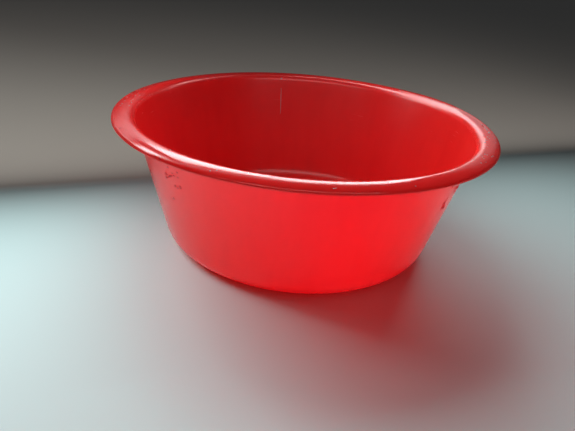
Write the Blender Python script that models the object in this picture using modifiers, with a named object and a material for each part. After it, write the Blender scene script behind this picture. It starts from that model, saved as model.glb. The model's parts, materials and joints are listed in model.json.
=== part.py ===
"""Round washing bowl of thin translucent plastic.

The bowl is one moulding with the same thickness all over. It is divided here at its feature lines
into named pieces, which all follow one profile turned about the vertical axis. Metres, +Z up, with
the origin on the axis, in the plane that the bowl stands on.

The profile is drawn along the side of the sheet that faces into the bowl and, on the rim, up and
out. A point on it is a Vector of radius and height.
"""

import math

import bmesh
import bpy
from mathutils import Vector

# The bowl as a whole
RIM_RADIUS = 0.190
BOWL_HEIGHT = 0.134
WALL_THICKNESS = 0.0018

# Side wall: the radius of its outside, run on down to the plane that the bowl stands on
WALL_FOOT_RADIUS = 0.1373

# Rolled rim: how far it stands out from the wall, and the shape of its upper side. The crown is an
# arc from the top of the lip's fillet to the tight shoulder, at the top of the short skirt.
RIM_OVERHANG = 0.0194
LIP_FILLET_RADIUS = 0.009
SHOULDER_RADIUS = 0.0026
SHOULDER_DROP = 0.0045
SKIRT_LENGTH = 0.0009
SKIRT_EDGE_ROUNDING = 0.0004

# Base: the rounding of its heel, along the outside, and the middle that is raised off the floor
HEEL_RADIUS = 0.023
STANDING_FACE_WIDTH = 0.014
PANEL_STEP_RUN = 0.005
PANEL_LIFT = 0.002

# Gate mark that the mould leaves in the middle of the underside
GATE_MARK_RADIUS = 0.004
GATE_MARK_HEIGHT = 0.0008
GATE_MARK_ROUNDING = 0.0003

# Seams: the gap, and how far from the end of a bend a seam lies
SEAM_GAP = 0.0003
SEAM_MARGIN = 0.002

# How finely the curves are divided
STEPS_AROUND = 72
GATE_MARK_SIDES = 24
LIP_FILLET_STEPS = 6
CROWN_STEPS = 5
SHOULDER_STEPS = 4
HEEL_STEPS = 6
PANEL_STEP_STEPS = 5
ROUNDING_STEPS = 2
MERGE_DISTANCE_SHARE = 0.01

QUARTER_TURN = math.pi / 2
HALF_TURN = math.pi
FULL_TURN = 2 * math.pi

# Finish: the same plastic throughout, which looks deeper in colour where the rim doubles it
PLASTIC_RED = (0.78, 0.030, 0.028, 1.0)
RIM_RED = (0.66, 0.022, 0.022, 1.0)
PLASTIC_ROUGHNESS = 0.26
PLASTIC_SUBSURFACE = 0.4

# The side wall's line, from which the rim and the heel take their places
SKIRT_EDGE_HEIGHT = BOWL_HEIGHT - SHOULDER_DROP - SKIRT_LENGTH
WALL_TOP_RADIUS = RIM_RADIUS - RIM_OVERHANG
WALL_LEAN = math.atan2(WALL_TOP_RADIUS - WALL_FOOT_RADIUS, SKIRT_EDGE_HEIGHT)
UP_THE_WALL = Vector((math.sin(WALL_LEAN), math.cos(WALL_LEAN)))
OUT_OF_THE_WALL = Vector((math.cos(WALL_LEAN), -math.sin(WALL_LEAN)))


def beside_the_wall(distance, height):
    """The point at a height that lies a distance outside the wall's outer face."""
    radius = WALL_FOOT_RADIUS + (distance + height * math.sin(WALL_LEAN)) / math.cos(WALL_LEAN)
    return Vector((radius, height))


HEEL_CENTRE = beside_the_wall(-HEEL_RADIUS, HEEL_RADIUS)
HEEL_TOP = HEEL_CENTRE + OUT_OF_THE_WALL * (HEEL_RADIUS - WALL_THICKNESS)
LIP_CENTRE = beside_the_wall(LIP_FILLET_RADIUS - WALL_THICKNESS, BOWL_HEIGHT - LIP_FILLET_RADIUS)
LIP_START = LIP_CENTRE - OUT_OF_THE_WALL * LIP_FILLET_RADIUS

# Radii of the base's rings, and heights of its upper side
STANDING_FACE_INNER_RADIUS = HEEL_CENTRE.x - STANDING_FACE_WIDTH
PANEL_RADIUS = STANDING_FACE_INNER_RADIUS - PANEL_STEP_RUN
STANDING_LEVEL = WALL_THICKNESS
PANEL_LEVEL = PANEL_LIFT + WALL_THICKNESS


def arc(centre, radius, start, end, steps):
    """Points on an arc from one angle to another."""
    angles = [start + (end - start) * step / steps for step in range(steps + 1)]
    return [centre + radius * Vector((math.cos(angle), math.sin(angle))) for angle in angles]


def drawn_back(end, neighbour):
    """The end of a line, drawn back from its seam by half the gap."""
    return end + (neighbour - end).normalized() * SEAM_GAP / 2


def seamed(line):
    """The line with both ends drawn back from their seams."""
    return [drawn_back(line[0], line[1]), *line[1:-1], drawn_back(line[-1], line[-2])]


def panel_line():
    """The raised middle of the base, from the axis to the seam inside its step."""
    seam = PANEL_RADIUS - SEAM_MARGIN - SEAM_GAP / 2
    return [Vector((0, PANEL_LEVEL)), Vector((seam, PANEL_LEVEL))]


def standing_ring_line():
    """The step down from the panel and the flat ring that the bowl stands on."""
    line = [Vector((PANEL_RADIUS - SEAM_MARGIN, PANEL_LEVEL))]
    for step in range(PANEL_STEP_STEPS + 1):
        way = step / PANEL_STEP_STEPS
        fall = (1 - math.cos(HALF_TURN * way)) / 2
        line.append(Vector((PANEL_RADIUS + PANEL_STEP_RUN * way, PANEL_LEVEL - PANEL_LIFT * fall)))
    line.append(Vector((HEEL_CENTRE.x - SEAM_MARGIN, STANDING_LEVEL)))
    return seamed(line)


def heel_line():
    """The rounded heel, from the standing ring up to the foot of the wall."""
    radius = HEEL_RADIUS - WALL_THICKNESS
    line = [Vector((HEEL_CENTRE.x - SEAM_MARGIN, STANDING_LEVEL))]
    line += arc(HEEL_CENTRE, radius, -QUARTER_TURN, -WALL_LEAN, HEEL_STEPS)
    line.append(HEEL_TOP + UP_THE_WALL * SEAM_MARGIN)
    return seamed(line)


def wall_line():
    """The straight wall, from the heel up to the rim."""
    return seamed([HEEL_TOP + UP_THE_WALL * SEAM_MARGIN, LIP_START - UP_THE_WALL * SEAM_MARGIN])


def rim_line():
    """The rim, from the top of the wall over the crown and down to the skirt's lower edge."""
    shoulder_centre = Vector((RIM_RADIUS - SHOULDER_RADIUS, BOWL_HEIGHT - SHOULDER_DROP))
    run = shoulder_centre.x - LIP_CENTRE.x
    shoulder_start = QUARTER_TURN - 2 * math.atan2(SHOULDER_DROP - SHOULDER_RADIUS, run)
    crown_radius = SHOULDER_RADIUS + run / math.cos(shoulder_start)
    crown_centre = Vector((LIP_CENTRE.x, BOWL_HEIGHT - crown_radius))
    line = [LIP_START - UP_THE_WALL * SEAM_MARGIN]
    line += arc(LIP_CENTRE, LIP_FILLET_RADIUS, HALF_TURN - WALL_LEAN, QUARTER_TURN, LIP_FILLET_STEPS)
    line += arc(crown_centre, crown_radius, QUARTER_TURN, shoulder_start, CROWN_STEPS)[1:-1]
    line += arc(shoulder_centre, SHOULDER_RADIUS, shoulder_start, 0, SHOULDER_STEPS)
    line.append(Vector((RIM_RADIUS, SKIRT_EDGE_HEIGHT)))
    line[0] = drawn_back(line[0], line[1])
    return line


def plastic(name, colour):
    """Glossy translucent plastic of one colour."""
    made = bpy.data.materials.new(name)
    made.use_nodes = True
    made.diffuse_color = colour
    shader = made.node_tree.nodes["Principled BSDF"]
    shader.inputs["Base Color"].default_value = colour
    shader.inputs["Roughness"].default_value = PLASTIC_ROUGHNESS
    shader.inputs["Metallic"].default_value = 0
    shader.inputs["Subsurface Weight"].default_value = PLASTIC_SUBSURFACE
    shader.inputs["Subsurface Scale"].default_value = WALL_THICKNESS
    return made


def add_object(name, mesh, collection, parent, colour):
    """An object of the bowl, in its collection, with a material of its own."""
    made = bpy.data.objects.new(name, mesh)
    made.data.materials.append(plastic(name + "_plastic", colour))
    collection.objects.link(made)
    made.parent = parent
    return made


def turned_sheet(name, line, collection, parent, colour=PLASTIC_RED):
    """A sheet of the wall's thickness behind a line that is turned about the vertical axis."""
    mesh = bpy.data.meshes.new(name)
    points = [(point.x, 0, point.y) for point in line]
    mesh.from_pydata(points, [(at, at + 1) for at in range(len(points) - 1)], [])
    made = add_object(name, mesh, collection, parent, colour)

    screw = made.modifiers.new("turn", "SCREW")
    screw.axis = "Z"
    screw.angle = FULL_TURN
    screw.steps = screw.render_steps = STEPS_AROUND
    screw.use_merge_vertices = True
    screw.merge_threshold = SEAM_GAP * MERGE_DISTANCE_SHARE
    screw.use_smooth_shade = True

    thicken = made.modifiers.new("thickness", "SOLIDIFY")
    thicken.thickness = WALL_THICKNESS
    thicken.offset = -1
    thicken.use_even_offset = True
    return made


def round_skirt_edge(rim):
    """Round both sides of the skirt's lower edge. The rim becomes a plain mesh."""
    graph = bpy.context.evaluated_depsgraph_get()
    mesh = bpy.data.meshes.new_from_object(rim.evaluated_get(graph))
    shape = bmesh.new()
    shape.from_mesh(mesh)
    tolerance = SKIRT_EDGE_ROUNDING * MERGE_DISTANCE_SHARE
    around = []
    for edge in shape.edges:
        ends = [vertex.co for vertex in edge.verts]
        level = all(abs(end.z - SKIRT_EDGE_HEIGHT) < tolerance for end in ends)
        if level and abs(ends[0].xy.length - ends[1].xy.length) < tolerance:
            around.append(edge)
    bmesh.ops.bevel(
        shape, geom=around, offset=SKIRT_EDGE_ROUNDING, segments=ROUNDING_STEPS, profile=0.5,
        affect="EDGES", material=-1,
    )
    shape.to_mesh(mesh)
    shape.free()
    rim.modifiers.clear()
    rim.data = mesh
    mesh.shade_smooth()
    mesh.set_sharp_from_angle(angle=QUARTER_TURN / 2)


def gate_mark(name, collection, parent):
    """The short round stub under the middle of the panel, clear of it by a seam's gap."""
    mesh = bpy.data.meshes.new(name)
    shape = bmesh.new()
    bmesh.ops.create_cone(
        shape, cap_ends=True, segments=GATE_MARK_SIDES, radius1=GATE_MARK_RADIUS,
        radius2=GATE_MARK_RADIUS, depth=GATE_MARK_HEIGHT,
    )
    shape.to_mesh(mesh)
    shape.free()
    made = add_object(name, mesh, collection, parent, PLASTIC_RED)
    made.location.z = PANEL_LIFT - SEAM_GAP - GATE_MARK_HEIGHT / 2

    rounding = made.modifiers.new("rounding", "BEVEL")
    rounding.width = GATE_MARK_ROUNDING
    rounding.segments = ROUNDING_STEPS
    return made


def main():
    for old in list(bpy.data.objects):
        bpy.data.objects.remove(old, do_unlink=True)
    collection = bpy.data.collections.new("washing_bowl")
    bpy.context.scene.collection.children.link(collection)
    bowl = bpy.data.objects.new("washing_bowl", None)
    collection.objects.link(bowl)

    turned_sheet("base_panel", panel_line(), collection, bowl)
    turned_sheet("standing_ring", standing_ring_line(), collection, bowl)
    turned_sheet("base_heel", heel_line(), collection, bowl)
    turned_sheet("side_wall", wall_line(), collection, bowl)
    rim = turned_sheet("rolled_rim", rim_line(), collection, bowl, RIM_RED)
    round_skirt_edge(rim)
    gate_mark("gate_mark", collection, bowl)


main()
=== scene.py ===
"""Looks of the washing bowl: one glossy, translucent red moulding with drops of water on it.

It stands on a plain pale floor, with panes of soft light close behind it and dim light in front.
Metres, +Z up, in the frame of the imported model. An azimuth is an angle round the bowl's axis: 0 at
the back, growing to the right.
"""

import json
import logging
import math
import random
from dataclasses import dataclass
from enum import Enum
from typing import Any, Mapping, Sequence

import bmesh
import bpy
from mathutils import Matrix, Vector

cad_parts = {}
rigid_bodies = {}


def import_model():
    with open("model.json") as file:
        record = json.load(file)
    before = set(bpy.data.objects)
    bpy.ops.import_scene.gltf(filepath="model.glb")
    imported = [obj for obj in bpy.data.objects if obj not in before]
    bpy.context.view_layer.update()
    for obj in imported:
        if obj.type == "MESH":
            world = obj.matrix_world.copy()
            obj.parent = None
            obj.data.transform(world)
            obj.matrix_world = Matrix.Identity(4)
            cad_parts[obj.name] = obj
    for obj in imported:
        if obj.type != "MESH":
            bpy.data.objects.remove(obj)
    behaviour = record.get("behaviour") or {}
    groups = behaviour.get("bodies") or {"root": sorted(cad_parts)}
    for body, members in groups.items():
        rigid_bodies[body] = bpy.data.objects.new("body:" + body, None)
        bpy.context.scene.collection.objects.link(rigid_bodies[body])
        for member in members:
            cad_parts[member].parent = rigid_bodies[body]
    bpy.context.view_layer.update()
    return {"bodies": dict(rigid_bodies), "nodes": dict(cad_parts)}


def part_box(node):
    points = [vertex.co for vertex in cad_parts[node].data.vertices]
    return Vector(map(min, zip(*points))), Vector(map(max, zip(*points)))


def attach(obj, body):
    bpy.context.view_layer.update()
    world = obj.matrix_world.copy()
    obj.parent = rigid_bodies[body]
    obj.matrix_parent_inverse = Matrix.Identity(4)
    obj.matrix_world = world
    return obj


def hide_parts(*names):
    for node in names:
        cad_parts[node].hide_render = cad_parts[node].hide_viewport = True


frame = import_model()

LOG = logging.getLogger("washing_bowl")
BODY = next(iter(frame["bodies"]))
QUARTER_TURN = math.pi / 2
HALF_TURN = math.pi
FULL_TURN = 2 * math.pi
MILLIMETRE = 0.001
MERGE_DISTANCE = 0.01 * MILLIMETRE
HALF_UNIT = 0.5
ROUND_PROFILE = 0.5
FIRST_COLOUR, SECOND_COLOUR, MIXED_COLOUR = 6, 7, 2
PANE_AZIMUTH = math.radians(-24)
PANE_DISTANCE = 0.176
COOL_TINT = (0.68, 1.0, 1.0)
THROUGH_BOWL_TINT = (1.0, 0.0, 0.0)
WARM_TINT = (1.0, 0.87, 0.76)

Colour = tuple[float, float, float, float]
Tint = tuple[float, float, float]
Span = tuple[float, float]


class Signal:
    """A socket of a shader that Python's operators work on."""

    def __init__(self, graph: "Graph", socket: bpy.types.NodeSocket) -> None:
        """Keep the socket and its graph.

        Args:
            graph: The graph that the socket belongs to.
            socket: The output socket that holds the number.
        """
        self.graph = graph
        self.socket = socket

    def worked(self, operation: str, *values: Any) -> "Signal":
        """Send this signal and other values through a Math node.

        Args:
            operation: The Math node's operation.
            values: The numbers or signals that follow this one.

        Returns:
            The node's result.
        """
        sockets = dict(enumerate((self, *values)))
        return self.graph.signal(self.graph.add("ShaderNodeMath", {"operation": operation}, sockets))

    def __add__(self, other: Any) -> "Signal":
        """The sum."""
        return self.worked("ADD", other)

    __radd__ = __add__

    def __sub__(self, other: Any) -> "Signal":
        """The difference."""
        return self.worked("SUBTRACT", other)

    def __rsub__(self, other: Any) -> "Signal":
        """The difference, the other way round."""
        return self.worked("MULTIPLY", -1.0).worked("ADD", other)

    def __mul__(self, other: Any) -> "Signal":
        """The product."""
        return self.worked("MULTIPLY", other)

    def __truediv__(self, other: Any) -> "Signal":
        """The quotient."""
        return self.worked("DIVIDE", other)

    def __pow__(self, other: Any) -> "Signal":
        """The power."""
        return self.worked("POWER", other)

    def size(self) -> "Signal":
        """The number without its sign."""
        return self.worked("ABSOLUTE")

    def between(self, low: float, high: float) -> "Signal":
        """How far the number has come from one value to another, smoothly.

        Args:
            low: Where the result is 0.
            high: Where the result is 1.

        Returns:
            A signal from 0 to 1.
        """
        values = {"Value": self, "From Min": low, "From Max": high}
        settings = {"interpolation_type": "SMOOTHSTEP"}
        return self.graph.signal(self.graph.add("ShaderNodeMapRange", settings, values))


@dataclass(frozen=True)
class Clouds:
    """A cloudy pattern, from 0 to 1 and mostly near a half.

    It has so many clouds in a unit of length, and so many finer layers of a certain strength. With a
    contrast, it is 0 below the contrast's first value and 1 above its second.
    """

    per_unit: float
    layers: int
    layer_strength: float
    contrast: Span | None = None


class Graph:
    """The node graph of one material, which starts empty."""

    def __init__(self, name: str, colour: Colour) -> None:
        """Make the material and empty its graph.

        Args:
            name: The material's name.
            colour: Its plain colour in the viewport.
        """
        self.material = bpy.data.materials.new(name)
        self.material.use_nodes = True
        self.material.diffuse_color = colour
        self.tree = self.material.node_tree
        self.tree.nodes.clear()
        self.place = self.add("ShaderNodeTexCoord").outputs["Object"]

    def add(
        self, kind: str, settings: Mapping[str, Any] | None = None, values: Mapping[Any, Any] | None = None,
    ) -> bpy.types.Node:
        """Add a node.

        Args:
            kind: The node's type.
            settings: Its properties, which are set first.
            values: What its sockets hold or are linked to, by name or number.

        Returns:
            The node.
        """
        node = self.tree.nodes.new(kind)
        for name, value in (settings or {}).items():
            setattr(node, name, value)
        for key, value in (values or {}).items():
            if isinstance(value, Signal):
                value = value.socket
            if isinstance(value, bpy.types.NodeSocket):
                self.tree.links.new(value, node.inputs[key])
            else:
                node.inputs[key].default_value = value
        return node

    def signal(self, node: bpy.types.Node, output: Any = 0) -> Signal:
        """One output of a node, ready for sums."""
        return Signal(self, node.outputs[output])

    def axis(self, which: int) -> Signal:
        """One of the point's own coordinates, in metres: 0, 1 or 2 for X, Y or Z."""
        return self.signal(self.add("ShaderNodeSeparateXYZ", None, {0: self.place}), which)

    def point(self, x: Any, y: Any, z: Any) -> bpy.types.NodeSocket:
        """Join three numbers into a point."""
        return self.add("ShaderNodeCombineXYZ", None, {0: x, 1: y, 2: z}).outputs[0]

    def noise(self, place: bpy.types.NodeSocket, clouds: Clouds) -> Signal:
        """A cloudy pattern.

        Args:
            place: The point that it is read at.
            clouds: What the pattern is like.

        Returns:
            A signal from 0 to 1.
        """
        values = {
            "Vector": place,
            "Scale": clouds.per_unit,
            "Detail": clouds.layers,
            "Roughness": clouds.layer_strength,
        }
        pattern = self.signal(self.add("ShaderNodeTexNoise", {"noise_dimensions": "3D"}, values))
        return pattern.between(*clouds.contrast) if clouds.contrast else pattern

    def blend(self, share: Signal, first: Any, second: Any) -> bpy.types.NodeSocket:
        """Mix two colours, the second by its share."""
        values = {"Factor": share, FIRST_COLOUR: first, SECOND_COLOUR: second}
        return self.add("ShaderNodeMix", {"data_type": "RGBA"}, values).outputs[MIXED_COLOUR]

    def bump(
        self, height: Signal, distance: float, under: bpy.types.NodeSocket | None = None,
    ) -> bpy.types.NodeSocket:
        """Turn a height into a normal.

        Args:
            height: The height, from 0 to 1.
            distance: The height, in metres, that 1 stands for.
            under: The normal of what lies under it, if that isn't smooth.

        Returns:
            The normal.
        """
        values = {"Distance": distance, "Height": height}
        if under:
            values["Normal"] = under
        return self.add("ShaderNodeBump", None, values).outputs[0]

    def finish(self, shader: bpy.types.Node) -> bpy.types.Material:
        """Join the last shader to the output and give the material."""
        self.add("ShaderNodeOutputMaterial", None, {"Surface": shader.outputs[0]})
        return self.material


class Side(Enum):
    """A side of the bowl that drops lie on."""

    RIM = "top of the rim"
    OUTSIDE = "outside of the wall"
    INSIDE = "inside of the wall"


@dataclass(frozen=True)
class BowlShape:
    """The bowl's sizes, in metres, and the line of its profile along the side that faces up.

    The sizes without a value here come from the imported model. A point of the profile holds a radius
    and a height, and a line runs with the open air on its left.
    """

    rim_radius: float
    height: float
    thickness: float
    panel_lift: float
    wall_lean: float
    wall_foot_radius: float
    gate_radius: float
    gate_depth: float
    heel_radius: float = 23 * MILLIMETRE
    standing_width: float = 14 * MILLIMETRE
    step_run: float = 5 * MILLIMETRE
    lip_radius: float = 9 * MILLIMETRE
    shoulder_radius: float = 2.6 * MILLIMETRE
    shoulder_drop: float = 4.5 * MILLIMETRE
    skirt_length: float = 0.9 * MILLIMETRE
    bow_rise: float = 2.2 * MILLIMETRE
    bow_azimuth: float = math.radians(60)
    bow_spread: float = math.radians(45)
    bow_from: float = 2.6 * MILLIMETRE
    panel_rings: int = 12
    step_rings: int = 10
    heel_rings: int = 14
    wall_rings: int = 16
    lip_rings: int = 16
    crown_rings: int = 14
    shoulder_rings: int = 8

    @classmethod
    def from_frame(cls) -> "BowlShape":
        """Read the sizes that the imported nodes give.

        Returns:
            The bowl's shape.
        """
        panel_low, panel_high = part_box("base_panel")
        gate_low, gate_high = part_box("gate_mark")
        heel_high, wall_high, rim_high = (
            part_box(name)[1] for name in ("base_heel", "side_wall", "rolled_rim")
        )
        thickness = panel_high.z - panel_low.z
        lean = math.atan2(wall_high.x - heel_high.x, wall_high.z - heel_high.z)
        outer_top = wall_high.z - thickness * math.sin(lean)
        foot_radius = wall_high.x - outer_top * math.tan(lean)
        gate = (gate_high.x, panel_low.z - gate_low.z)
        return cls(rim_high.x, rim_high.z, thickness, panel_low.z, lean, foot_radius, *gate)

    def beside_wall(self, distance: float, height: float) -> Vector:
        """The point at a height that lies a distance outside the wall's outer face."""
        across = (distance + height * math.sin(self.wall_lean)) / math.cos(self.wall_lean)
        return Vector((self.wall_foot_radius + across, height))

    @property
    def heel_centre(self) -> Vector:
        """The centre of the heel's rounding."""
        return self.beside_wall(-self.heel_radius, self.heel_radius)

    @property
    def lip_centre(self) -> Vector:
        """The centre of the rounding from the wall over to the rim."""
        return self.beside_wall(self.lip_radius - self.thickness, self.height - self.lip_radius)

    @property
    def standing_radius(self) -> float:
        """The radius of the middle of the ring that the bowl stands on."""
        return self.heel_centre.x - self.standing_width / 2

    @property
    def skirt_edge_height(self) -> float:
        """The height of the skirt's lower edge."""
        return self.height - self.shoulder_drop - self.skirt_length

    @staticmethod
    def arc(centre: Vector, radius: float, start: float, end: float, steps: int) -> list[Vector]:
        """Points along an arc.

        Args:
            centre: The arc's centre.
            radius: Its radius.
            start: The angle of the first point.
            end: The angle of the last point.
            steps: How many steps it takes.

        Returns:
            The points, ends included.
        """
        angles = [start + (end - start) * step / steps for step in range(steps + 1)]
        return [centre + radius * Vector((math.cos(angle), math.sin(angle))) for angle in angles]

    @staticmethod
    def straight(start: Vector, end: Vector, steps: int) -> list[Vector]:
        """Points along a straight line, the end left out."""
        return [start.lerp(end, step / steps) for step in range(steps)]

    def floor_line(self) -> list[Vector]:
        """The raised panel, its step down, and the ring that the bowl stands on.

        Returns:
            The points, from the axis outwards.
        """
        level = self.panel_lift + self.thickness
        panel_radius = self.heel_centre.x - self.standing_width - self.step_run
        over_gate, panel_edge = Vector((self.gate_radius, level)), Vector((panel_radius, level))
        line = [Vector((0, level)), *self.straight(over_gate, panel_edge, self.panel_rings)]
        for ring in range(self.step_rings + 1):
            way = ring / self.step_rings
            fall = (1 - math.cos(HALF_TURN * way)) / 2
            line.append(Vector((panel_radius + self.step_run * way, level - self.panel_lift * fall)))
        return line

    def heel_and_wall_line(self) -> list[Vector]:
        """The rounded heel and the straight wall up to the lip.

        Returns:
            The points, the lip's first one left out.
        """
        inner = self.heel_radius - self.thickness
        heel = self.arc(self.heel_centre, inner, -QUARTER_TURN, -self.wall_lean, self.heel_rings)
        return heel[:-1] + self.straight(heel[-1], self.lip_line()[0], self.wall_rings)

    def lip_line(self) -> list[Vector]:
        """The rounding from the wall over to the top of the rim's crown."""
        start = HALF_TURN - self.wall_lean
        return self.arc(self.lip_centre, self.lip_radius, start, QUARTER_TURN, self.lip_rings)

    def crown_line(self) -> list[Vector]:
        """The crown's slow curve, the tight shoulder that it runs into, and the short skirt.

        Returns:
            The points, down to the skirt's lower edge.
        """
        shoulder = Vector((self.rim_radius - self.shoulder_radius, self.height - self.shoulder_drop))
        run = shoulder.x - self.lip_centre.x
        fall = self.shoulder_drop - self.shoulder_radius
        turn = 2 * math.atan2(fall, run)
        crown_radius = self.shoulder_radius + run / math.sin(turn)
        crown = Vector((self.lip_centre.x, self.height - crown_radius))
        line = self.arc(crown, crown_radius, QUARTER_TURN, QUARTER_TURN - turn, self.crown_rings)[:-1]
        line += self.arc(shoulder, self.shoulder_radius, QUARTER_TURN - turn, 0, self.shoulder_rings)
        return line + [Vector((self.rim_radius, self.skirt_edge_height))]

    def line(self) -> list[Vector]:
        """The whole profile, from the axis out and up to the skirt's lower edge."""
        return self.floor_line() + self.heel_and_wall_line() + self.lip_line() + self.crown_line()

    def bow(self, place: Vector) -> float:
        """How far the rim is bowed up at a place, where use has sprung it a little out of true.

        Args:
            place: The place on the unbowed bowl.

        Returns:
            The rise.
        """
        start = self.lip_centre.x - self.bow_from
        outward = max(0.0, place.xy.length - start) / (self.rim_radius - start)
        beside = math.remainder(math.atan2(place.x, place.y) - self.bow_azimuth, FULL_TURN)
        turned = beside / self.bow_spread
        if outward == 0 or abs(turned) > 1 or place.z < self.skirt_edge_height - self.thickness:
            return 0.0
        return self.bow_rise * outward ** 2 * (1 + math.cos(HALF_TURN * turned)) / 2

    def side_line(self, side: Side) -> list[Vector]:
        """The line that drops on one side of the bowl lie along.

        Args:
            side: The side.

        Returns:
            The line's points, with the drops on its left.
        """
        if side is Side.RIM:
            return self.lip_line() + self.crown_line()
        if side is Side.INSIDE:
            return self.heel_and_wall_line()
        return [self.beside_wall(0, self.skirt_edge_height), self.beside_wall(0, self.heel_radius)]


class BowlPoint:
    """Where a shaded point of the bowl lies, as signals."""

    def __init__(self, graph: Graph) -> None:
        """Read the point, and its direction out from the axis.

        Args:
            graph: The material's graph.
        """
        self.graph = graph
        self.x, self.y, self.height = (graph.axis(which) for which in range(3))
        self.radius = (self.x * self.x + self.y * self.y) ** 0.5
        # The added millimetre keeps the direction finite on the axis.
        self.across = self.x / (self.radius + MILLIMETRE)
        self.along = self.y / (self.radius + MILLIMETRE)

    def stretched(self, around: float, up: float) -> bpy.types.NodeSocket:
        """A point for patterns that run along or round the bowl.

        Args:
            around: How finely the pattern is divided round the axis.
            up: How finely a metre out and up the bowl is divided.

        Returns:
            The point that the pattern is read at.
        """
        rise = (self.radius + self.height) * up
        return self.graph.point(self.across * around, self.along * around, rise)


@dataclass(frozen=True)
class MouldedPlastic:
    """Translucent red plastic, glossy from the mould, with flow streaks and the fine wear of use.

    The path of light in it is long for red and shorter for green and blue. The inside of the wall is
    a little duller from washing, the standing ring is scuffed, and beads of mist lie on two sides of
    the rim. Each span holds where a change starts and where it is complete.
    """

    red: Colour = (0.93, 0.014, 0.011, 1.0)
    streak_red: Colour = (0.87, 0.011, 0.009, 1.0)
    scuff_pink: Colour = (0.80, 0.16, 0.15, 1.0)
    gloss_roughness: float = 0.15
    worn_roughness: float = 0.10
    rub_roughness: float = 0.05
    scuff_roughness: float = 0.35
    bead_roughness: float = 0.10
    refraction: float = 1.5
    light_path: float = 14.0 * MILLIMETRE
    path_of_colours: Tint = (1.0, 0.44, 0.58)
    streaks_around: float = 5.0
    streaks_per_metre: float = 6.0
    streaks: Clouds = Clouds(1, 3, 0.6)
    streak_share: float = 0.7
    patches: Clouds = Clouds(14.0, 2, 0.5)
    patch_share: float = 0.3
    flow_span: Span = (0.35, 0.7)
    scuffs: Clouds = Clouds(260.0, 4, 0.7, (0.48, 0.62))
    scuff_strength: float = 0.6
    foot_height: float = 1.0 * MILLIMETRE
    foot_widths: Span = (0.3, 0.7)
    rubs_around: float = 3.0
    rubs_per_metre: float = 420.0
    rubs: Clouds = Clouds(1, 4, 0.65, (0.5, 0.8))
    rub_places: Clouds = Clouds(22.0, 3, 0.6, (0.42, 0.68))
    scratch_height: float = 0.0015 * MILLIMETRE
    waves: Clouds = Clouds(28.0, 1, 0.4)
    wave_height: float = 0.12 * MILLIMETRE
    inner_face_thicknesses: Span = (-0.7, -0.3)
    mist_azimuths: tuple[float, ...] = (math.radians(-105), math.radians(110))
    mist_core: float = math.radians(8)
    mist_spread: float = math.radians(32)
    mist_depth: float = 8.0 * MILLIMETRE
    beads: Clouds = Clouds(650.0, 2, 0.6, (0.42, 0.62))
    bead_height: float = 0.08 * MILLIMETRE

    def material(self, shape: BowlShape) -> bpy.types.Material:
        """Make the plastic.

        Args:
            shape: The bowl's sizes, which say where the standing ring, the inside and the rim are.

        Returns:
            The material.
        """
        graph = Graph("red_moulded_plastic", self.red)
        point = BowlPoint(graph)
        scuffs, beads = self.scuffed(point, shape), self.misted(point, shape)
        worn = self.inside(point, shape) * self.worn_roughness
        around_bowl = point.stretched(self.rubs_around, self.rubs_per_metre)
        rubs = graph.noise(around_bowl, self.rubs) * graph.noise(graph.place, self.rub_places)
        roughness = self.gloss_roughness + rubs * self.rub_roughness + scuffs * self.scuff_roughness
        roughness = roughness + beads * self.bead_roughness + worn

        waves = graph.bump(graph.noise(graph.place, self.waves), self.wave_height)
        scratches = graph.bump(rubs + scuffs, self.scratch_height, waves)
        pink_share = scuffs * self.scuff_strength
        values = {
            "Base Color": graph.blend(pink_share, self.flow_colour(point), self.scuff_pink),
            "Roughness": roughness,
            "Normal": graph.bump(beads, self.bead_height, scratches),
            "IOR": self.refraction,
            "Subsurface Weight": 1.0,
            "Subsurface Radius": self.path_of_colours,
            "Subsurface Scale": self.light_path,
        }
        settings = {"subsurface_method": "RANDOM_WALK"}
        return graph.finish(graph.add("ShaderNodeBsdfPrincipled", settings, values))

    def scuffed(self, point: BowlPoint, shape: BowlShape) -> Signal:
        """Scuffs from the ground on the ring that the bowl stands on.

        Args:
            point: The shaded point.
            shape: The bowl's sizes.

        Returns:
            A signal that is 1 in a scuff.
        """
        off_ring = (point.radius - shape.standing_radius).size() / shape.standing_width
        low_down = 1 - point.height.between(0, self.foot_height)
        on_foot = low_down * (1 - off_ring.between(*self.foot_widths))
        return on_foot * point.graph.noise(point.graph.point(point.x, point.y, 0), self.scuffs)

    def inside(self, point: BowlPoint, shape: BowlShape) -> Signal:
        """The inside of the bowl, told from how far a point lies within the wall's outer face.

        Args:
            point: The shaded point.
            shape: The bowl's sizes.

        Returns:
            A signal that is 1 on the inside.
        """
        from_outer_face = point.radius - point.height * math.tan(shape.wall_lean) - shape.wall_foot_radius
        low, high = (thicknesses * shape.thickness for thicknesses in self.inner_face_thicknesses)
        return 1 - from_outer_face.between(low, high)

    def misted(self, point: BowlPoint, shape: BowlShape) -> Signal:
        """Fine beads of water mist on the rim, on two sides of the bowl.

        Args:
            point: The shaded point.
            shape: The bowl's sizes.

        Returns:
            A signal that is 1 in the middle of a bead.
        """
        edge, core = math.cos(self.mist_spread), math.cos(self.mist_core)
        sides = [
            point.across * math.sin(azimuth) + point.along * math.cos(azimuth)
            for azimuth in self.mist_azimuths
        ]
        on_sides = sum(side.between(edge, core) for side in sides)
        beads = point.graph.noise(point.graph.place, self.beads) * on_sides
        mist_low = shape.height - self.mist_depth
        return beads * point.height.between(mist_low, mist_low + self.mist_depth / 2)

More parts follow.
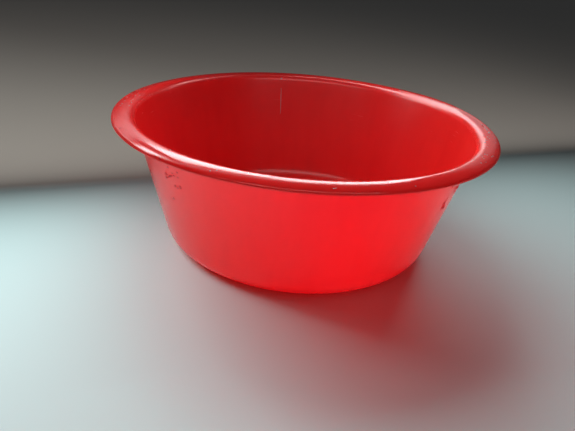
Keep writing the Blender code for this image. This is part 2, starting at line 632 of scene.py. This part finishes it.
    def flow_colour(self, point: BowlPoint) -> bpy.types.NodeSocket:
        """Streaks from the middle of the base up to the rim, as the plastic flowed in the mould.

        Args:
            point: The shaded point.

        Returns:
            The plastic's colour.
        """
        graph = point.graph
        streaks = graph.noise(point.stretched(self.streaks_around, self.streaks_per_metre), self.streaks)
        patches = graph.noise(graph.place, self.patches)
        flow = streaks * self.streak_share + patches * self.patch_share
        return graph.blend(flow.between(*self.flow_span), self.red, self.streak_red)


@dataclass(frozen=True)
class Water:
    """Water, with the faint unevenness of a drop that has sat for a while.

    Clearness is the share of the light that isn't scattered by the drop itself.
    """

    name: str
    # Both colours are painted tints: a dark red that paints shade in the wall drops, and a milky white that
    # paints glints in the rim drops. The dusty one adds the faint unevenness.
    clear: Colour
    dusty: Colour
    clearness: float
    roughness: float = 0.02
    uneven_roughness: float = 0.05
    refraction: float = 1.333
    dust: Clouds = Clouds(700.0, 2, 0.5, (0.4, 0.7))

    def material(self) -> bpy.types.Material:
        """Make the water.

        Returns:
            The material.
        """
        graph = Graph(self.name, self.clear)
        dust = graph.noise(graph.place, self.dust)
        values = {
            "Base Color": graph.blend(dust, self.clear, self.dusty),
            "Roughness": self.roughness + dust * self.uneven_roughness,
            "IOR": self.refraction,
            "Transmission Weight": self.clearness,
        }
        return graph.finish(graph.add("ShaderNodeBsdfPrincipled", None, values))


@dataclass(frozen=True)
class PaleFloor:
    """A plain pale floor with a soft sheen, with painted shade that greys it a little to the back and the
    right.
    """

    pale: Colour = (0.66, 0.70, 0.70, 1.0)
    painted_shade_grey: Colour = (0.40, 0.41, 0.41, 1.0)
    roughness: float = 0.35
    uneven_roughness: float = 0.05
    clouds: Clouds = Clouds(3.0, 2, 0.5)
    cloud_share: float = 0.05
    lean_to_right: float = 0.4
    painted_shade_span: Span = (-0.15, 0.9)

    def material(self) -> bpy.types.Material:
        """Make the floor's finish.

        Returns:
            The material.
        """
        graph = Graph("pale_floor", self.pale)
        clouds = graph.noise(graph.place, self.clouds)
        # Painted shade: the colour greys towards the back and the right, where the light falls off.
        away = graph.axis(0) * self.lean_to_right + graph.axis(1) + clouds * self.cloud_share
        values = {
            "Base Color": graph.blend(away.between(*self.painted_shade_span), self.pale, self.painted_shade_grey),
            "Roughness": self.roughness + clouds * self.uneven_roughness,
        }
        return graph.finish(graph.add("ShaderNodeBsdfPrincipled", None, values))


@dataclass
class Moulding:
    """The bowl itself, turned from its profile as one sheet of the wall's thickness."""

    shape: BowlShape
    plastic: MouldedPlastic
    steps_around: int = 240
    edge_rounding: float = 0.4 * MILLIMETRE
    edge_steps: int = 3
    gate_rounding: float = 0.3 * MILLIMETRE
    gate_steps: int = 2
    gate_dimple: float = 0.3 * MILLIMETRE

    def sheet(self) -> bmesh.types.BMesh:
        """Turn the profile about the vertical axis and give the sheet its thickness.

        Returns:
            The closed shell, still sharp at the skirt's edge.
        """
        made = bmesh.new()
        points = [made.verts.new((point.x, 0, point.y)) for point in self.shape.line()]
        lines = [made.edges.new(pair) for pair in zip(points, points[1:])]
        bmesh.ops.spin(
            made, geom=points + lines, cent=(0, 0, 0), axis=(0, 0, 1), angle=FULL_TURN,
            steps=self.steps_around, use_merge=True, use_duplicate=False,
        )
        bmesh.ops.remove_doubles(made, verts=made.verts[:], dist=MERGE_DISTANCE)
        bmesh.ops.recalc_face_normals(made, faces=made.faces[:])
        # An open sheet can come out facing down, and the thickness has to go to its underside.
        if sum(face.normal.z * face.calc_area() for face in made.faces) < 0:
            bmesh.ops.reverse_faces(made, faces=made.faces[:])
        bmesh.ops.solidify(made, geom=made.faces[:], thickness=self.shape.thickness)
        return made

    @staticmethod
    def ring_edges(made: bmesh.types.BMesh, radius: float, height: float) -> list[bmesh.types.BMEdge]:
        """The edges of one ring that runs round the bowl's axis.

        Args:
            made: The shell.
            radius: The ring's radius.
            height: The ring's height.

        Returns:
            The edges.
        """
        ring = {
            vertex for vertex in made.verts
            if math.hypot(vertex.co.xy.length - radius, vertex.co.z - height) < MERGE_DISTANCE
        }
        return [edge for edge in made.edges if set(edge.verts) <= ring]

    @staticmethod
    def round_edges(
        made: bmesh.types.BMesh, edges: list[bmesh.types.BMEdge], width: float, steps: int,
    ) -> None:
        """Round some edges.

        Args:
            made: The shell.
            edges: The edges.
            width: How far the rounding reaches from each.
            steps: How many faces it takes.
        """
        bmesh.ops.bevel(
            made, geom=edges, offset=width, segments=steps, profile=ROUND_PROFILE, affect="EDGES",
            material=-1,
        )

    def add_gate_mark(self, made: bmesh.types.BMesh) -> None:
        """Draw the mould's gate mark out of the middle of the underside, with a dimple in it.

        Args:
            made: The shell.
        """
        shape = self.shape
        reach = shape.gate_radius + MERGE_DISTANCE
        under = [
            face for face in made.faces
            if face.normal.z < 0 and all(vertex.co.xy.length < reach for vertex in face.verts)
        ]
        drawn = bmesh.ops.extrude_face_region(made, geom=under)["geom"]
        bmesh.ops.delete(made, geom=under, context="FACES")
        corners = [item for item in drawn if isinstance(item, bmesh.types.BMVert)]
        bmesh.ops.translate(made, vec=(0, 0, -shape.gate_depth), verts=corners)
        middle = [corner for corner in corners if corner.co.xy.length < MERGE_DISTANCE]
        bmesh.ops.translate(made, vec=(0, 0, self.gate_dimple), verts=middle)
        foot = self.ring_edges(made, shape.gate_radius, shape.panel_lift - shape.gate_depth)
        self.round_edges(made, foot, self.gate_rounding, self.gate_steps)

    def build(self) -> bpy.types.Object:
        """Build and dress the moulding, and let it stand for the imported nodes.

        Returns:
            The finished piece.
        """
        shape = self.shape
        made = self.sheet()
        for radius in (shape.rim_radius, shape.rim_radius - shape.thickness):
            edge = self.ring_edges(made, radius, shape.skirt_edge_height)
            self.round_edges(made, edge, self.edge_rounding, self.edge_steps)
        self.add_gate_mark(made)
        for vertex in made.verts:
            vertex.co.z += shape.bow(vertex.co)
        piece = piece_from("bowl_moulding", made, self.plastic.material(shape))
        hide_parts(*frame["nodes"])
        return piece


@dataclass(frozen=True)
class DropPatch:
    """Where a patch of scattered drops lies, how many it has, and how wide they are.

    Low and high are shares of the side's line, from its first point. Angles are in degrees. A drop
    that is stretched has run along the line.
    """

    side: Side
    azimuth: float
    spread: float
    low: float
    high: float
    count: int
    least: float
    most: float
    stretch: float = 1.0


@dataclass
class WaterDrops:
    """Drops of one kind of water, left from washing."""

    name: str
    shape: BowlShape
    water: Water
    patches: tuple[DropPatch, ...]
    seed: int = 4
    steps_around: int = 16
    steps_up: int = 10
    tallness: float = 0.8
    sunk_share: float = 0.12
    longest: float = 1.35

    def dome(self) -> bpy.types.Mesh:
        """One drop of unit width, cut off level a little below the face that it sits on.

        Returns:
            The drop's mesh.
        """
        made = bmesh.new()
        bmesh.ops.create_uvsphere(
            made, u_segments=self.steps_around, v_segments=self.steps_up, radius=HALF_UNIT,
        )
        bmesh.ops.scale(made, vec=(1, 1, self.tallness), verts=made.verts[:])
        everything = made.verts[:] + made.edges[:] + made.faces[:]
        bmesh.ops.bisect_plane(
            made, geom=everything, plane_co=(0, 0, -self.sunk_share), plane_no=(0, 0, 1),
            clear_inner=True,
        )
        bmesh.ops.holes_fill(made, edges=made.edges[:], sides=0)
        bmesh.ops.recalc_face_normals(made, faces=made.faces[:])
        mesh = bpy.data.meshes.new("drop_of_unit_width")
        made.to_mesh(mesh)
        made.free()
        return mesh

    @staticmethod
    def spot(line: Sequence[Vector], share: float) -> tuple[Vector, Vector]:
        """A point of a line and the direction out of it, to its left.

        Args:
            line: The line's points.
            share: How far along the line's length it lies, from 0 to 1.

        Returns:
            The point and the direction.
        """
        left = share * sum((end - start).length for start, end in zip(line, line[1:]))
        for start, end in zip(line, line[1:]):
            step = end - start
            if left <= step.length:
                break
            left -= step.length
        forward = step.normalized()
        return start + forward * left, Vector((-forward.y, forward.x))

    def places(self, patch: DropPatch, chance: random.Random) -> list[Matrix]:
        """Scatter the drops of a patch, most of them near the least width.

        Args:
            patch: The patch.
            chance: The source of the scatter.

        Returns:
            A matrix for each drop, which takes the unit drop to its place and size.
        """
        line = self.shape.side_line(patch.side)
        found = []
        for _ in range(patch.count):
            spot, facing = self.spot(line, chance.uniform(patch.low, patch.high))
            azimuth = math.radians(patch.azimuth + patch.spread * chance.uniform(-1, 1))
            width = patch.least + (patch.most - patch.least) * chance.random() ** 2
            longer = patch.stretch * chance.uniform(1, self.longest)
            size = Matrix.Diagonal((width, width * longer, width, 1))
            upright = Vector((facing.x, 0, facing.y)).to_track_quat("Z", "Y").to_matrix().to_4x4()
            round_axis = Matrix.Rotation(QUARTER_TURN - azimuth, 4, "Z")
            turned = Matrix.Rotation(chance.uniform(0, FULL_TURN) if patch.stretch == 1 else 0, 4, "Z")
            placed = round_axis @ Matrix.Translation((spot.x, 0, spot.y)) @ upright @ turned @ size
            lift = self.shape.bow(placed.translation) if patch.side is Side.RIM else 0.0
            found.append(Matrix.Translation((0, 0, lift)) @ placed)
        return found

    def build(self) -> bpy.types.Object:
        """Build all the drops as one piece.

        Returns:
            The finished piece.
        """
        chance = random.Random(self.seed)
        dome = self.dome()
        made = bmesh.new()
        for patch in self.patches:
            for place in self.places(patch, chance):
                before = len(made.verts)
                made.from_mesh(dome)
                made.verts.ensure_lookup_table()
                bmesh.ops.transform(made, matrix=place, verts=made.verts[before:])
        bpy.data.meshes.remove(dome)
        return piece_from(self.name, made, self.water.material())


# The drops on the wall are tinted dark red as painted shade, so they look darker than the lit plastic
# behind them.
DARK_WATER = Water("painted_shade_water", (0.50, 0.10, 0.13, 1.0), (0.43, 0.08, 0.10, 1.0), 1.0)
# Painted highlight: the rim drops are milky white as painted glints, so they look brighter than the
# plastic.
BRIGHT_WATER = Water("painted_glint_water", (1.0, 0.88, 0.87, 1.0), (0.97, 0.82, 0.81, 1.0), 0.66)
WALL_DROPS = (
    DropPatch(Side.OUTSIDE, -139, 4, 0.13, 0.50, 15, 1.5 * MILLIMETRE, 2.8 * MILLIMETRE),
    DropPatch(Side.OUTSIDE, 123, 4, 0.19, 0.45, 14, 1.8 * MILLIMETRE, 3.2 * MILLIMETRE),
    DropPatch(Side.RIM, -128, 20, 0.66, 0.92, 12, 0.8 * MILLIMETRE, 1.8 * MILLIMETRE),
)
RIM_DROPS = (
    DropPatch(Side.RIM, 90, 5, 0.60, 0.65, 12, 1.4 * MILLIMETRE, 2.4 * MILLIMETRE),
    DropPatch(Side.RIM, 112, 16, 0.35, 0.75, 24, 0.7 * MILLIMETRE, 1.4 * MILLIMETRE),
    DropPatch(Side.RIM, -90, 14, 0.30, 0.70, 20, 0.7 * MILLIMETRE, 1.4 * MILLIMETRE),
    DropPatch(Side.RIM, 180, 40, 0.40, 0.80, 8, 0.8 * MILLIMETRE, 1.3 * MILLIMETRE),
    DropPatch(Side.RIM, -12.5, 0, 0.06, 0.07, 1, 2.2 * MILLIMETRE, 2.4 * MILLIMETRE),
    DropPatch(Side.INSIDE, -12.5, 0, 0.85, 0.86, 1, 0.7 * MILLIMETRE, 0.8 * MILLIMETRE, 36.0),
)


def link_new(name: str, data: Any) -> bpy.types.Object:
    """Make an object of some data and put it in the scene.

    Args:
        name: The object's name.
        data: Its mesh, light or camera.

    Returns:
        The object, at the origin.
    """
    made = bpy.data.objects.new(name, data)
    bpy.context.scene.collection.objects.link(made)
    return made


def mesh_object(name: str, made: bmesh.types.BMesh, finish: bpy.types.Material) -> bpy.types.Object:
    """Turn a finished shape into an object.

    Args:
        name: The object's name.
        made: The shape, which is used up.
        finish: The object's material.

    Returns:
        The object.
    """
    mesh = bpy.data.meshes.new(name)
    made.to_mesh(mesh)
    made.free()
    mesh.materials.append(finish)
    return link_new(name, mesh)


def piece_from(name: str, made: bmesh.types.BMesh, finish: bpy.types.Material) -> bpy.types.Object:
    """Turn a finished shape into a smooth piece of the bowl.

    Args:
        name: The piece's name.
        made: The shape, which is used up.
        finish: The piece's material.

    Returns:
        The piece, which rides on the bowl's body.
    """
    piece = mesh_object(name, made, finish)
    piece.data.shade_smooth()
    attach(piece, BODY)
    return piece


def group_of(name: str, *members: bpy.types.Object) -> bpy.types.Collection:
    """A group of objects that a light falls on or is stopped by.

    Args:
        name: The group's name.
        members: The objects.

    Returns:
        The group.
    """
    group = bpy.data.collections.new(name)
    for member in members:
        group.objects.link(member)
    return group


@dataclass(frozen=True)
class Upright:
    """An upright rectangle that faces the bowl's axis.

    It stands at a distance from the axis, in the direction of an azimuth. Left and right are
    measured along it from the foot of that distance. With a distance below zero it stands on the
    other side of the axis and faces away from it.
    """

    azimuth: float
    distance: float
    left: float
    right: float
    bottom: float
    top: float

    @property
    def width(self) -> float:
        """How wide it is."""
        return self.right - self.left

    @property
    def height(self) -> float:
        """How high it is."""
        return self.top - self.bottom

    @property
    def place(self) -> Matrix:
        """The matrix that stands a flat thing there, its back to the bowl's axis and its own Y up.

        Returns:
            The matrix.
        """
        away = Vector((math.sin(self.azimuth), math.cos(self.azimuth), 0))
        along = Vector((away.y, -away.x, 0))
        middle = away * self.distance + along * (self.left + self.right) / 2
        middle.z = (self.bottom + self.top) / 2
        turned = Matrix((along, Vector((0, 0, 1)), -away)).transposed().to_4x4()
        return Matrix.Translation(middle) @ turned


def pane(left: float, right: float, bottom: float, top: float) -> Upright:
    """An upright rectangle close behind the bowl, where the light comes from."""
    return Upright(PANE_AZIMUTH, PANE_DISTANCE, left, right, bottom, top)


class Lit(Enum):
    """What a light falls on, and what stops it."""

    BOWL = "the bowl, with the bowl in its way"
    FLOOR = "the floor, with the bowl in its way"
    FLOOR_THROUGH_BOWL = "the floor, with nothing in its way"


class Shown(Enum):
    """How a light shows on what it falls on."""

    SPREAD = "spread by the surface"
    MIRRORED = "mirrored in the surface"
    BOTH = "spread and mirrored"


@dataclass(frozen=True)
class SoftLight:
    """A flat soft light. Its brightness is that of its face, where lit white paper is about 1."""

    name: str
    where: Upright
    brightness: float
    lit: Lit
    shown: Shown = Shown.SPREAD
    tint: Tint = (0.97, 0.99, 1.0)

    def build(self, bowl: Sequence[bpy.types.Object], floor: bpy.types.Object) -> None:
        """Hang the light, hidden from the camera.

        Args:
            bowl: The bowl's pieces.
            floor: The floor.
        """
        lamp = bpy.data.lights.new(self.name, "AREA")
        lamp.shape = "RECTANGLE"
        lamp.size, lamp.size_y = self.where.width, self.where.height
        lamp.energy = self.brightness * math.pi * self.where.width * self.where.height
        lamp.color = self.tint
        holder = link_new(self.name, lamp)
        holder.matrix_world = self.where.place @ Matrix.Rotation(HALF_TURN, 4, "X")
        holder.visible_camera = False
        holder.visible_glossy = self.shown is not Shown.SPREAD
        holder.visible_diffuse = self.shown is not Shown.MIRRORED
        lit = bowl if self.lit is Lit.BOWL else [floor]
        holder.light_linking.receiver_collection = group_of(self.name + "_falls", *lit)
        if self.lit is not Lit.BOWL:
            # Everything would stop a light with an empty group, so the floor takes the bowl's place.
            stopped_by = [floor] if self.lit is Lit.FLOOR_THROUGH_BOWL else bowl
            holder.light_linking.blocker_collection = group_of(self.name + "_stops", *stopped_by)


# The bright panes stand where the rim's highlights mirror them. The rest of the light on the bowl
# is a fill above them, a high light on the left, and dim light in front.
BOWL_LIGHTS = (
    SoftLight("window_far_left", pane(-0.580, -0.400, 0.300, 0.395), 5.0, Lit.BOWL, Shown.BOTH),
    SoftLight("window_left", pane(-0.400, -0.215, 0.300, 0.395), 10.2, Lit.BOWL, Shown.BOTH),
    SoftLight("window_middle", pane(-0.165, 0.030, 0.255, 0.375), 8.2, Lit.BOWL, Shown.BOTH),
    SoftLight("window_right", pane(0.030, 0.290, 0.272, 0.412), 7.4, Lit.BOWL, Shown.BOTH),
    SoftLight("window_head", pane(-0.400, 0.250, 0.412, 0.480), 1.0, Lit.BOWL, Shown.BOTH),
    SoftLight("window_corner", pane(0.210, 0.335, 0.190, 0.272), 2.8, Lit.BOWL, Shown.BOTH),
    SoftLight("window_side", pane(0.335, 0.500, 0.160, 0.320), 0.5, Lit.BOWL, Shown.BOTH),
    SoftLight("window_sill", pane(-0.300, -0.100, 0.190, 0.255), 1.2, Lit.BOWL, Shown.BOTH),
    SoftLight("sky_fill", pane(-0.60, 0.60, 0.480, 0.900), 0.8, Lit.BOWL),
    SoftLight("high_left", Upright(-QUARTER_TURN, 0.5, -0.35, 0.35, 0.8, 1.6), 4.8, Lit.BOWL),
    SoftLight("room_fill", Upright(HALF_TURN, 1.5, -1.5, 1.5, 0.02, 1.00), 0.62, Lit.BOWL),
    SoftLight("room_glow", Upright(HALF_TURN, 1.5, -1.6, 1.6, 0.95, 1.60), 2.2, Lit.BOWL, Shown.MIRRORED),
    SoftLight("front_fill", Upright(HALF_TURN, 0.200, -0.20, -0.03, 0.0, 0.08), 0.8, Lit.BOWL),
)
# The floor's own lights give it the photograph's shades: cool panes, the red light that comes through
# the bowl, and a warm one on the floor behind the panes.
FLOOR_LIGHTS = (
    SoftLight("floor_far_left", pane(-0.80, -0.50, 0.380, 0.750), 4.5, Lit.FLOOR, tint=COOL_TINT),
    SoftLight("floor_left", pane(-0.50, -0.25, 0.270, 0.380), 39.0, Lit.FLOOR, tint=COOL_TINT),
    SoftLight("floor_middle", pane(-0.25, 0.00, 0.270, 0.750), 5.4, Lit.FLOOR, tint=COOL_TINT),
    SoftLight("floor_middle_right", pane(0.00, 0.25, 0.380, 0.750), 6.5, Lit.FLOOR, tint=COOL_TINT),
    SoftLight("floor_right", pane(0.25, 0.50, 0.270, 0.380), 20.5, Lit.FLOOR, tint=COOL_TINT),
    SoftLight(
        "floor_through", pane(-0.60, 0.355, 0.450, 1.200), 1.9, Lit.FLOOR_THROUGH_BOWL,
        tint=THROUGH_BOWL_TINT,
    ),
    SoftLight(
        "floor_behind", Upright(PANE_AZIMUTH + HALF_TURN, -0.16, -1.0, 3.0, 0.06, 1.2), 1.1,
        Lit.FLOOR, tint=WARM_TINT,
    ),
)


@dataclass
class Studio:
    """The floor, the lights and the camera, which stands where the photograph was taken from.

    The bowl and the floor are lit apart, so that each can follow the photograph.
    """

    floor: PaleFloor
    floor_reach: float = 8.0
    camera_place: tuple[float, float, float] = (0.0, -0.53898, 0.28548)
    camera_aim: tuple[float, float, float] = (-0.01034, 0.0, 0.01515)
    camera_roll: float = math.radians(4.964)
    nearest_seen: float = 0.01
    lens: float = 33.85
    sensor: float = 36.0
    room_colour: Colour = (0.04, 0.04, 0.04, 1.0)
    lights: tuple[SoftLight, ...] = BOWL_LIGHTS + FLOOR_LIGHTS

    def build_floor(self) -> bpy.types.Object:
        """Build the floor as one flat square, which isn't part of the bowl.

        Returns:
            The floor.
        """
        made = bmesh.new()
        bmesh.ops.create_grid(made, x_segments=1, y_segments=1, size=self.floor_reach)
        floor = mesh_object("studio_floor", made, self.floor.material())
        return floor

    def build_room(self) -> None:
        """Fill the rest of the view with a dim even light."""
        world = bpy.data.worlds.new("room")
        bpy.context.scene.world = world
        world.use_nodes = True
        world.node_tree.nodes["Background"].inputs["Color"].default_value = self.room_colour

    def build_camera(self) -> None:
        """Set up the camera at the photograph's place, with its slight roll."""
        camera = link_new("camera", bpy.data.cameras.new("camera"))
        bpy.context.scene.camera = camera
        camera.data.lens = self.lens
        camera.data.sensor_width = self.sensor
        camera.data.clip_start = self.nearest_seen
        place = Vector(self.camera_place)
        facing = (Vector(self.camera_aim) - place).to_track_quat("-Z", "Y").to_matrix().to_4x4()
        roll = Matrix.Rotation(self.camera_roll, 4, "Z")
        camera.matrix_world = Matrix.Translation(place) @ facing @ roll

    def build(self, bowl: Sequence[bpy.types.Object]) -> None:
        """Build the whole studio.

        Args:
            bowl: The bowl's pieces, which the studio's lights fall on.
        """
        self.build_room()
        floor = self.build_floor()
        for light in self.lights:
            light.build(bowl, floor)
        self.build_camera()
        bpy.context.scene.view_settings.view_transform = "Standard"


def main() -> None:
    """Build the bowl and the studio, and report each piece."""
    logging.basicConfig(level=logging.INFO, format="%(message)s")
    shape = BowlShape.from_frame()
    bowl = [
        Moulding(shape, MouldedPlastic()).build(),
        WaterDrops("wall_drops", shape, DARK_WATER, WALL_DROPS).build(),
        WaterDrops("rim_drops", shape, BRIGHT_WATER, RIM_DROPS).build(),
    ]
    for piece in bowl:
        LOG.info("%s: %d faces", piece.name, len(piece.data.polygons))
    Studio(PaleFloor()).build(bowl)
    LOG.info("studio: floor, lights and camera")


if __name__ == "__main__":
    main()
